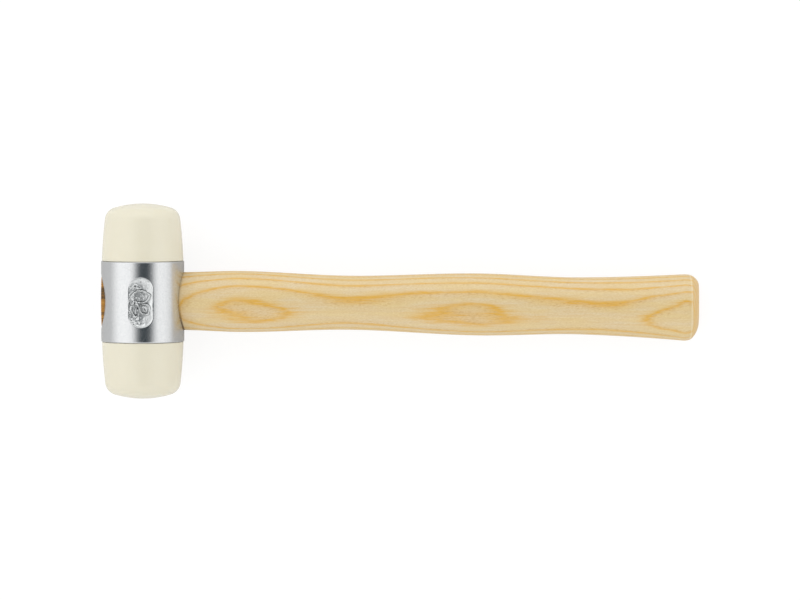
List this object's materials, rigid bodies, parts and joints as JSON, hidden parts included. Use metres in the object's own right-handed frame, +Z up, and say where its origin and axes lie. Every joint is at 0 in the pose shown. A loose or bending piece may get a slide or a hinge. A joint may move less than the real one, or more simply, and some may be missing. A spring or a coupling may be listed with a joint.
{
  "type": "soft face hammer",
  "caption": "Soft face hammer: a short cast cylinder head with a domed, screw-in nylon face at each end, and a wedged, waisted ash handle that flares at the butt.",
  "frame": {"origin": "middle of the footprint of the hammer as it lies on its side, on the bench", "axes": "+X from the head to the butt along the handle, which dips 2 degrees to the bench; +Y along the striking axis, to the right of someone who looks along the handle at the head; +Z up, out of the side with the cast recess"},
  "size_m": [0.36, 0.1176, 0.05],
  "materials": {
    "zinc_plated_iron": "malleable iron casting, bead blasted and bright zinc plated, satin",
    "nylon": "turned natural nylon, ivory, soft gloss",
    "ash": "plain sawn ash, sanded, clear satin lacquer",
    "beech": "beech, end grain sealed dark",
    "wedge_steel": "bare mild steel, darkened"
  },
  "bodies": {
    "hammer": {"head_body": "zinc_plated_iron", "handle": "ash", "wooden_wedge": "beech", "left_steel_wedge": "wedge_steel", "right_steel_wedge": "wedge_steel"},
    "left_face": {"left_face": "nylon"},
    "right_face": {"right_face": "nylon"}
  },
  "joints": [
    {"name": "left_face_unscrew", "type": "slide", "parent": "hammer", "child": "left_face", "axis": [0, -1, 0], "range_m": [0, 0.02]},
    {"name": "right_face_unscrew", "type": "slide", "parent": "hammer", "child": "right_face", "axis": [0, 1, 0], "range_m": [0, 0.02]}
  ]
}
